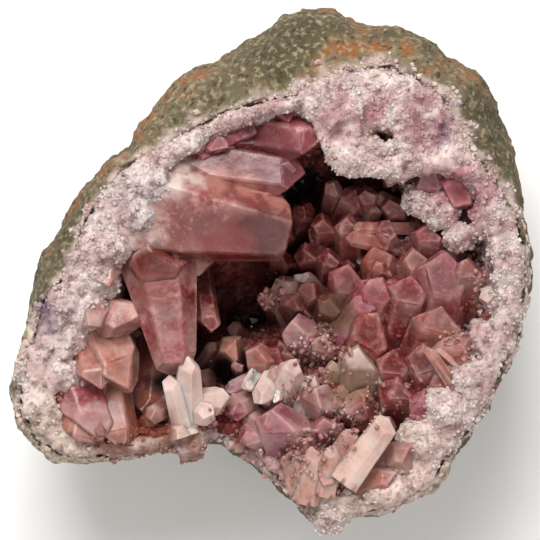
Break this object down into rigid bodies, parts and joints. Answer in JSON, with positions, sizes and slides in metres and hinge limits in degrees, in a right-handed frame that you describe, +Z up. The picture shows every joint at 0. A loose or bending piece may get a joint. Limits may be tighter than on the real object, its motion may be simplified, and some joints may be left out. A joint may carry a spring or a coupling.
{
  "type": "amethyst geode section",
  "caption": "Broken half of a pink amethyst geode: bumpy rock rind, white quartz lining and a hollow full of pink crystals.",
  "frame": {"origin": "centre of the specimen's outline, on the surface that it lies on", "axes": "+Z up out of the open hollow; +Y towards the side where the rind is thickest"},
  "size_m": [0.0882, 0.089, 0.0431],
  "materials": {
    "host_rock": "rough weathered rock, olive grey with rust stains",
    "white_quartz": "sugary white druse",
    "pink_amethyst": "translucent pink, salmon and mauve crystal faces"
  },
  "bodies": {
    "root": {"host_rock_rind": "host_rock", "quartz_lining": "white_quartz", "amethyst_crust": "pink_amethyst"}
  },
  "joints": []
}
